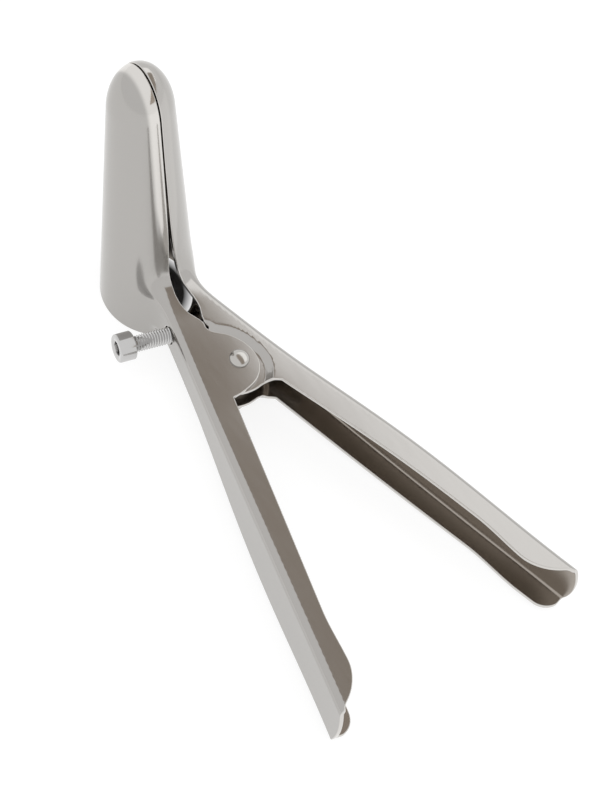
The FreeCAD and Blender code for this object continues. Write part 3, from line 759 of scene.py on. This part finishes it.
# %% Press both halves
JOIN = 12.0
RIGHT_HIGHLIGHT_SHARE = 0.2
for left in (False, True):
    def sunk_at(p, grow=0.0, left=left):
        return 0.0 if left else seat_depth(p, grow)

    def outer(p):
        return soft_union(blade_field(p), handle_field(p, sunk_at(p)), JOIN)

    def inside(p):
        return soft_union(blade_field(p), handle_field(p, sunk_at(p, 0.5)), JOIN) + SHEET

    def plain(p):
        return soft_union(blade_field(p), handle_field(p, 0.0), JOIN)

    def amount(p, left=left):
        return kept(p, left)
    net, squares = surface_net(outer, (-12.5, -129, -12.5), (46, 57.5, 78), amount)
    net = relaxed(net, squares, outer)
    net, faces = trimmed(net, squares, outer, amount)
    points, faces, normals, rim_mark, inner_mark, worn_mark = sheet_solid(
        net, faces, outer, inside, plain, amount)
    # The right half gets only a fifth of the painted highlight beside the slit.
    if not left:
        worn_mark *= RIGHT_HIGHLIGHT_SHARE
    if left:
        points = points * (-1, 1, 1)
        normals = normals * (-1, 1, 1)
        faces = [f[::-1] for f in faces]
    name = "pressed_left" if left else "pressed_right"
    pressed = add_mesh(name, (points + BASE) * 0.001, faces, sheet_steel, normals,
                       rim=rim_mark, inner=inner_mark, worn=worn_mark)
    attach(pressed, "left_half" if left else "right_half")
    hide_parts("left_valve" if left else "right_valve")
    print(name, len(points), "points", len(faces), "faces")

# %% [markdown]
# ## Turned parts
# Rivet, spacer, boss and screw body come off a lathe, so each is one outline spun about its axis.
# Every corner of the outline is broken by a small flat, as a turner breaks it with a file; these
# flats catch the light.

# %% Spin an outline
def spun(outline, sides=72, shape=None):
    """Closed ring mesh from an outline (radius, height) spun about Z; ends on the axis are closed."""
    points, rows, faces = [], [], []
    for index, (radius, height) in enumerate(outline):
        if radius < 1e-6:
            rows.append([len(points)])
            points.append((0, 0, height))
            continue
        row = []
        for k in range(sides):
            angle = 2 * math.pi * k / sides
            r = shape(index, radius, angle) if shape else radius
            row.append(len(points))
            points.append((r * math.cos(angle), r * math.sin(angle), height))
        rows.append(row)
    closed = outline[0][0] > 1e-6 and outline[-1][0] > 1e-6
    pairs = list(zip(rows[:-1], rows[1:])) + ([(rows[-1], rows[0])] if closed else [])
    for low, high in pairs:
        for k in range(sides):
            n = (k + 1) % sides
            if len(low) == 1:
                faces.append([low[0], high[n], high[k]])
            elif len(high) == 1:
                faces.append([low[k], low[n], high[0]])
            else:
                faces.append([low[k], low[n], high[n], high[k]])
    return np.array(points, float), faces


print("a cone of 8 sides has", len(spun([(1, 0), (0, 1)], 8)[1]), "faces")

# %% [markdown]
# A finished piece is hung on the body it moves with, and the solid it stands for is hidden.  A smooth
# mesh would blur a turned corner, so edges above a set angle are marked sharp.

# %% Put a piece in its place
def stand(item, node, body, sharp=35):
    """Put a finished piece in the place of its solid; edges sharper than the angle stay sharp."""
    item.data.set_sharp_from_angle(angle=math.radians(sharp))
    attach(item, body)
    if node:
        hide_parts(node)
    print(item.name, len(item.data.vertices), "points")


print("solids to stand for:", len(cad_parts))

# %% [markdown]
# ## Rivet
# The rivet's tail is set with a cupped punch, which leaves the same low dome as its head.  So the
# outline of one end is drawn, and its mirror image makes the other.

# %% Domed rivet
PIN, HEAD_R, HEAD_H = 2.0, 3.0, 1.5
dome = [(HEAD_R * math.cos(a) ** 0.8, NECK_HALF + 0.12 + (HEAD_H - 0.12) * math.sin(a))
        for a in np.linspace(0, math.pi / 2, 14)[:-1]]
upper = [(PIN, 0), (PIN, NECK_HALF), (HEAD_R - 0.06, NECK_HALF)] + dome + [(0, NECK_HALF + HEAD_H)]
rivet_line = [(r, -z) for r, z in upper[:0:-1]] + upper[1:]
points, faces = spun(rivet_line)
rivet = add_mesh("domed_rivet", (points + (*PIVOT, 0) + BASE) * 0.001, faces, rivet_steel)
stand(rivet, "pivot_rivet", "left_half")

# %% [markdown]
# ## Spacer
# A short piece of tube on the rivet keeps the inner ears apart while the rivet is set.

# %% Spacer tube
SPACER_R, SPACER_BORE, SPACER_HALF = 4.0, 2.12, NECK_HALF - 2 * SHEET - 0.12
BROKEN = 0.2
tube = [(SPACER_BORE, -SPACER_HALF), (SPACER_R - BROKEN, -SPACER_HALF), (SPACER_R, -SPACER_HALF + BROKEN),
        (SPACER_R, SPACER_HALF - BROKEN), (SPACER_R - BROKEN, SPACER_HALF), (SPACER_BORE, SPACER_HALF)]
points, faces = spun(tube)
spacer = add_mesh("spacer_tube", (points + (*PIVOT, 0) + BASE) * 0.001, faces, rivet_steel)
stand(spacer, "pivot_spacer", "left_half")

# %% [markdown]
# ## Threaded boss
# Sheet this thin holds no thread, so a ring is brazed inside the web.  It and the screw share one
# axis, square to the web, so both are drawn upright and turned into place by one rule.

# %% Brazed boss
left_foot = SCREW_FOOT * (-1, 1, 1)
outward = np.array([-SCREW_WAY[0], SCREW_WAY[1], 0.0])
screw_turn = np.stack([np.array([0.0, 0.0, 1.0]), np.cross(outward, (0.0, 0.0, 1.0)), outward], 1)


def at_screw(points):
    """Points drawn about Z moved onto the screw's axis, in metres."""
    return (points @ screw_turn.T + left_foot + BASE) * 0.001


BOSS_R, BOSS_H, BOSS_BORE = 3.5, 4.0, 2.52
ring = [(BOSS_BORE, -SHEET - BOSS_H), (BOSS_R - 0.25, -SHEET - BOSS_H), (BOSS_R, -SHEET - BOSS_H + 0.25),
        (BOSS_R, -SHEET), (BOSS_BORE, -SHEET)]
points, faces = spun(ring)
boss = add_mesh("brazed_boss", at_screw(points), faces, rivet_steel)
stand(boss, "thread_boss", "left_half")

# %% [markdown]
# ## Node trees
# The screw's thread and the spring's wire both follow a path, which a node tree does well.  Every
# tree here starts and ends alike: sizes and material come in by name, copies are made real and the
# material is set.  The result is kept as a plain mesh.

# %% Start, finish and run a tree
def new_tree(name, numbers):
    """Empty node tree with named number inputs and a material input."""
    tree = bpy.data.node_groups.new(name, "GeometryNodeTree")
    tree.interface.new_socket("Geometry", in_out="INPUT", socket_type="NodeSocketGeometry")
    for label, value in numbers:
        socket = tree.interface.new_socket(label, in_out="INPUT", socket_type="NodeSocketFloat")
        socket.default_value = value
    tree.interface.new_socket("Material", in_out="INPUT", socket_type="NodeSocketMaterial")
    tree.interface.new_socket("Geometry", in_out="OUTPUT", socket_type="NodeSocketGeometry")
    return tree, tree.nodes.new("NodeGroupInput"), tree.nodes.new("NodeGroupOutput")


def finish_tree(tree, geometry, given, out):
    """Every tree ends the same way: instances made real, material set."""
    real = tree.nodes.new("GeometryNodeRealizeInstances")
    paint = tree.nodes.new("GeometryNodeSetMaterial")
    tree.links.new(geometry, real.inputs["Geometry"])
    tree.links.new(real.outputs["Geometry"], paint.inputs["Geometry"])
    tree.links.new(given.outputs["Material"], paint.inputs["Material"])
    tree.links.new(paint.outputs["Geometry"], out.inputs["Geometry"])


def grown(name, mesh, tree, values):
    """Mesh that a tree makes from a starting mesh, with the modifier applied and gone."""
    item = bpy.data.objects.new(name, mesh)
    bpy.context.scene.collection.objects.link(item)
    modifier = item.modifiers.new(name, "NODES")
    modifier.node_group = tree
    keys = {s.name: s.identifier for s in tree.interface.items_tree if s.in_out == "INPUT"}
    for label, value in values.items():
        modifier[keys[label]] = value
    state = bpy.context.evaluated_depsgraph_get()
    shape = bpy.data.meshes.new_from_object(item.evaluated_get(state))
    item.modifiers.remove(modifier)
    item.data = shape
    return item


print("wire and thread wait for their trees; trees so far:", len(bpy.data.node_groups))

# %% [markdown]
# ## Screw thread
# A thread is one ridge that climbs round a core.  The tree winds a spiral, sets a four-cornered
# section along it and closes its ends.  Radius, pitch and length stay open as named inputs, so the
# same tree makes any thread.  The section is as wide as a standard thread is deep: 0.54 of the pitch.

# %% Thread tree
thread_tree, given, out = new_tree("screw_thread", [("Radius", 2.5), ("Pitch", 0.8), ("Length", 24.0)])
depth = math_node(thread_tree, "MULTIPLY", given.outputs["Pitch"], 0.54)
spiral = thread_tree.nodes.new("GeometryNodeCurveSpiral")
spiral.inputs["Resolution"].default_value = 32
thread_tree.links.new(math_node(thread_tree, "DIVIDE", given.outputs["Length"], given.outputs["Pitch"]),
                      spiral.inputs["Rotations"])
middle = math_node(thread_tree, "SUBTRACT", given.outputs["Radius"], depth)
for socket in ("Start Radius", "End Radius"):
    thread_tree.links.new(middle, spiral.inputs[socket])
thread_tree.links.new(given.outputs["Length"], spiral.inputs["Height"])
upright = thread_tree.nodes.new("GeometryNodeSetCurveNormal")
upright.mode = "Z_UP"
thread_tree.links.new(spiral.outputs["Curve"], upright.inputs["Curve"])
section = thread_tree.nodes.new("GeometryNodeCurvePrimitiveCircle")
section.inputs["Resolution"].default_value = 4
thread_tree.links.new(depth, section.inputs["Radius"])
ridge = thread_tree.nodes.new("GeometryNodeCurveToMesh")
ridge.inputs["Fill Caps"].default_value = True
thread_tree.links.new(upright.outputs["Curve"], ridge.inputs["Curve"])
thread_tree.links.new(section.outputs["Curve"], ridge.inputs["Profile Curve"])
finish_tree(thread_tree, ridge.outputs["Mesh"], given, out)
print("thread tree:", len(thread_tree.nodes), "nodes")

# %% [markdown]
# ## Cap screw
# Core and head are turned as one, the hexagon is pressed in: its ring of points is as many as the
# round's, so the two meet without a seam.  Bands of bright and dark on the head come from its
# straight side and the small radius at its rim.

# %% Limit screw
SCREW_R, SCREW_OUT, SCREW_LONG = 2.5, 11.3, 25.0
CAP_R, CAP_H, HEX, HEX_DEEP = 4.25, 5.0, 4.0, 2.6
PITCH, THREAD_LONG, CAP_ROUND = 0.8, 23.6, 0.55
top = SCREW_OUT + CAP_H
core = SCREW_R - 0.46
outline = [(0, SCREW_OUT - SCREW_LONG), (core - 0.4, SCREW_OUT - SCREW_LONG),
           (core, SCREW_OUT - SCREW_LONG + 0.5),
           (core, SCREW_OUT - 0.5), (SCREW_R, SCREW_OUT - 0.1), (CAP_R - 0.25, SCREW_OUT),
           (CAP_R, SCREW_OUT + 0.25)]
outline += [(CAP_R - CAP_ROUND + CAP_ROUND * math.cos(a), top - CAP_ROUND + CAP_ROUND * math.sin(a))
            for a in np.linspace(0, math.pi / 2, 7)]
bevel = len(outline)
outline += [(HEX / 2 + 0.62, top), (HEX / 2 + 0.02, top - 0.3), (HEX / 2, top - 0.36),
            (HEX / 2, top - HEX_DEEP + 0.1), (HEX / 2 - 0.1, top - HEX_DEEP), (0, top - HEX_DEEP - 0.5)]


def hexed(index, radius, angle):
    """Rings from the bevel inward follow the hexagon."""
    if index <= bevel:
        return radius
    turn = (angle % (math.pi / 3)) - math.pi / 6
    return radius / math.cos(turn)


points, faces = spun(outline, 96, hexed)
thread = grown("cap_screw_thread", bpy.data.meshes.new("thread_start"), thread_tree,
               {"Radius": SCREW_R, "Pitch": PITCH, "Length": THREAD_LONG, "Material": chrome})
ridge_points = np.array([v.co[:] for v in thread.data.vertices]) + (0, 0, SCREW_OUT - SCREW_LONG + PITCH)
ridge_faces = [[v + len(points) for v in f.vertices] for f in thread.data.polygons]
bpy.data.objects.remove(thread)
screw = add_mesh("cap_screw", at_screw(np.concatenate([points, ridge_points])), faces + ridge_faces, chrome)
stand(screw, "limit_screw", "screw", 40)

# %% [markdown]
# ## Return spring
# The wire is wound three times round the spacer, and its legs bear on the webs.  Its path is worked
# out as points, and a second tree lays a round section along it, as a coiling machine feeds wire.

# %% Wire tree
WIRE, COIL_R, LEG, TURNS = 0.65, 5.2, 21.0, 3
wire_tree, given, out = new_tree("wound_wire", [("Wire radius", WIRE)])
path_node = wire_tree.nodes.new("GeometryNodeMeshToCurve")
wire_tree.links.new(given.outputs["Geometry"], path_node.inputs["Mesh"])
upright = wire_tree.nodes.new("GeometryNodeSetCurveNormal")
upright.mode = "Z_UP"
wire_tree.links.new(path_node.outputs["Curve"], upright.inputs["Curve"])
section = wire_tree.nodes.new("GeometryNodeCurvePrimitiveCircle")
section.inputs["Resolution"].default_value = 16
wire_tree.links.new(given.outputs["Wire radius"], section.inputs["Radius"])
sweep = wire_tree.nodes.new("GeometryNodeCurveToMesh")
sweep.inputs["Fill Caps"].default_value = True
wire_tree.links.new(upright.outputs["Curve"], sweep.inputs["Curve"])
wire_tree.links.new(section.outputs["Curve"], sweep.inputs["Profile Curve"])
finish_tree(wire_tree, sweep.outputs["Mesh"], given, out)
print("wire tree:", len(wire_tree.nodes), "nodes")

# %% [markdown]
# A leg leaves the coil as a tangent and leans until its wire lies on the inside of its web.  The
# coil winds from one leg's start to the other's and rises by a little more than a wire each turn.

# %% Path of the wire
TOUCH, WIRE_PLAY = 0.94, 0.08


def leg_way(hand):
    """Direction of one leg: out until it meets its web."""
    offset = hand * LEAN_COS * PIVOT[0] + LEAN_SIN * PIVOT[1]
    station = hand * LEAN_SIN * PIVOT[0] - LEAN_COS * PIVOT[1] + LEG * TOUCH
    face = NECK_DEEP - SHEET - THIN * station + WEB_BOW * float(bow_share(station))
    target = face - offset - WIRE - WIRE_PLAY
    lean = math.asin(target / math.hypot(COIL_R, LEG)) - math.atan2(COIL_R, LEG)
    return -math.pi / 2 + hand * (LEAN + lean)


left_way, right_way = leg_way(-1), leg_way(1)
begin = left_way - math.pi / 2
finish = right_way + math.pi / 2 - 2 * math.pi * TURNS
while finish - begin > -2 * math.pi * (TURNS - 0.5):
    finish -= 2 * math.pi
rise = 2 * WIRE * 1.04 * TURNS
coil = [(COIL_R * math.cos(begin + (finish - begin) * s), COIL_R * math.sin(begin + (finish - begin) * s),
         rise * (s - 0.5)) for s in np.linspace(0, 1, 48 * TURNS + 1)]
first, last = np.array(coil[0]), np.array(coil[-1])
toward = np.array([math.cos(left_way), math.sin(left_way), 0]) * LEG
away = np.array([math.cos(right_way), math.sin(right_way), 0]) * LEG
tail = [(COIL_R * math.cos(finish - a), COIL_R * math.sin(finish - a), rise / 2)
        for a in np.linspace(0.05, math.radians(TURN_STEPS[-1]), 8)]
print("legs point %.1f and %.1f degrees from the right" % (math.degrees(left_way), math.degrees(right_way)))

# %% [markdown]
# The right leg turns with the right half, so it is a piece of its own that starts where the coil
# ends.  The coil goes on for as far as that half turns, so the leg never comes away from it.

# %% Spring and its right leg
wires = {"return_spring": [first + toward * s for s in np.linspace(1, 0.05, 12)] + coil + tail,
         "spring_right_leg": [last + away * s for s in np.linspace(0, 1, 13)]}
for name, path in wires.items():
    start = bpy.data.meshes.new(name + "_path")
    start.from_pydata([tuple(p) for p in path], [(i, i + 1) for i in range(len(path) - 1)], [])
    wound = grown(name + "_wound", start, wire_tree, {"Wire radius": WIRE, "Material": spring_steel})
    points = np.array([v.co[:] for v in wound.data.vertices])
    faces = [list(f.vertices) for f in wound.data.polygons]
    bpy.data.objects.remove(wound)
    wire = add_mesh(name, (points + (*PIVOT, 0) + BASE) * 0.001, faces, spring_steel)
    if name == "return_spring":
        stand(wire, "torsion_spring", "left_half", 50)
    else:
        stand(wire, None, "right_half", 50)

# %% [markdown]
# ## Paper
# Bright metal has no look of its own: it shows the room.  The room is white paper below and a white
# world around.  The paper is partly lit, for a faint shadow, and partly shines for the camera and
# for reflections, so that it stays white.  Under the shut blades no light would reach it, so a disc
# there doesn't shine, and the gap at the blades' foot looks dark.

# %% Paper floor
DARK_R, DARK_EDGE = 0.0105, 0.0135


def paper(name, colour, glow):
    """White paper with a faint shadow: part lit, part shining, but dark where the mouth shuts it in."""
    material = bpy.data.materials.new(name)
    material.use_nodes = True
    tree = material.node_tree
    nodes, links = tree.nodes, tree.links
    nodes.remove(nodes["Principled BSDF"])
    lit = put(nodes, "ShaderNodeBsdfDiffuse", Color=(*colour, 1))
    shine = put(nodes, "ShaderNodeEmission", Color=(1, 1, 1, 1))
    ray = nodes.new("ShaderNodeLightPath")
    seen = math_node(tree, "MAXIMUM", ray.outputs["Is Camera Ray"], ray.outputs["Is Glossy Ray"])
    seen = math_node(tree, "MAXIMUM", seen, ray.outputs["Is Transmission Ray"])
    where = nodes.new("ShaderNodeTexCoord")
    apart = nodes.new("ShaderNodeVectorMath")
    apart.operation = "DISTANCE"
    apart.inputs[1].default_value = (0, (BASE[1] + MOUTH_Y) * 0.001, 0)
    links.new(where.outputs["Object"], apart.inputs[0])
    shut_in = put(nodes, "ShaderNodeMapRange", From_Min=DARK_R, From_Max=DARK_EDGE, To_Max=glow)
    shut_in.inputs["To Min"].default_value = 0.0
    links.new(apart.outputs["Value"], shut_in.inputs["Value"])
    links.new(math_node(tree, "MULTIPLY", seen, shut_in.outputs["Result"]), shine.inputs["Strength"])
    both = nodes.new("ShaderNodeAddShader")
    links.new(lit.outputs[0], both.inputs[0])
    links.new(shine.outputs[0], both.inputs[1])
    links.new(both.outputs[0], nodes["Material Output"].inputs["Surface"])
    return material


def flat(name, corners, height, material):
    """Flat piece of stage at a height."""
    mesh = bpy.data.meshes.new(name)
    mesh.from_pydata([(x, y, 0) for x, y in corners], [], [tuple(range(len(corners)))])
    mesh.materials.append(material)
    item = bpy.data.objects.new(name, mesh)
    item.location.z = height
    bpy.context.scene.collection.objects.link(item)
    return item


floor = flat("floor", [(-3, -3), (3, -3), (3, 3), (-3, 3)], -0.0002,
             paper("paper", (0.30, 0.30, 0.30), 0.79))
print("paper floor %.1f m wide" % floor.dimensions.x)

# %% [markdown]
# ## Brown board
# In the photograph the left handle's front is dark and the right one's is bright, though both face
# the same way.  They mirror two sides of one edge: a warm, dim board hangs low over the left handle,
# seen by reflections only.  The closer it hangs, the sharper the two handles are told apart.

# %% Board
dark = bpy.data.materials.new("brown_board")
dark.use_nodes = True
tint = dark.node_tree.nodes["Principled BSDF"]
tint.inputs["Base Color"].default_value = (0, 0, 0, 1)
tint.inputs["Specular IOR Level"].default_value = 0.0
tint.inputs["Emission Color"].default_value = (0.44, 0.385, 0.335, 1)
tint.inputs["Emission Strength"].default_value = 1.0
board = flat("board", [(-0.012, -0.085), (0.056, -0.085), (0.056, 0.085), (0.026, 0.085)], 0.12, dark)
board.visible_camera = False
board.visible_diffuse = False
board.visible_shadow = False
print("board hangs %.2f m above the paper" % board.location.z)

# %% [markdown]
# ## Light
# The white world gives even light without hard shadows.  A large soft box on the right makes the
# right handle and the blades' right side a little brighter than white paper would.

# %% World and soft box
world = bpy.data.worlds.new("studio")
bpy.context.scene.world = world
world.use_nodes = True
world.node_tree.nodes["Background"].inputs["Color"].default_value = (1, 1, 1, 1)
world.node_tree.nodes["Background"].inputs["Strength"].default_value = 1.0

BOX_WIDE, BOX_LONG = 0.35, 0.5
box_data = bpy.data.lights.new("soft_box", "AREA")
box_data.shape = "RECTANGLE"
box_data.size, box_data.size_y = BOX_WIDE, BOX_LONG
box_data.energy = 0.5 * math.pi * BOX_WIDE * BOX_LONG
soft_box = bpy.data.objects.new("soft_box", box_data)
soft_box.location = (0.34, 0.08, 0.36)
bpy.context.scene.collection.objects.link(soft_box)
print("soft box at", tuple(round(v, 2) for v in soft_box.location), "m")

# %% [markdown]
# ## Camera
# The camera's place, turn and lens come from a fit of the part's edges to the photograph, in the
# same frame as the solids.  Its turn is given by two directions, to its right and to its back.

# %% Camera
bpy.context.scene.view_settings.view_transform = "Standard"
camera_data = bpy.data.cameras.new("camera")
camera_data.lens = 231.7815
camera_data.sensor_width = 36
camera_data.clip_start, camera_data.clip_end = 0.05, 20
camera = bpy.data.objects.new("camera", camera_data)
bpy.context.scene.collection.objects.link(camera)
right = Vector((0.788995, -0.590673, 0.169089)).normalized()
back = Vector((-0.413217, -0.306482, 0.857508)).normalized()
up = back.cross(right).normalized()
right = up.cross(back)
camera.matrix_world = Matrix.Translation(Vector((-0.601676, -0.453487, 1.282988))) @ Matrix(
    (right, up, back)).transposed().to_4x4()
bpy.context.scene.camera = camera
print("camera is %.2f m away, lens %.0f mm" % (camera.matrix_world.translation.length, camera_data.lens))
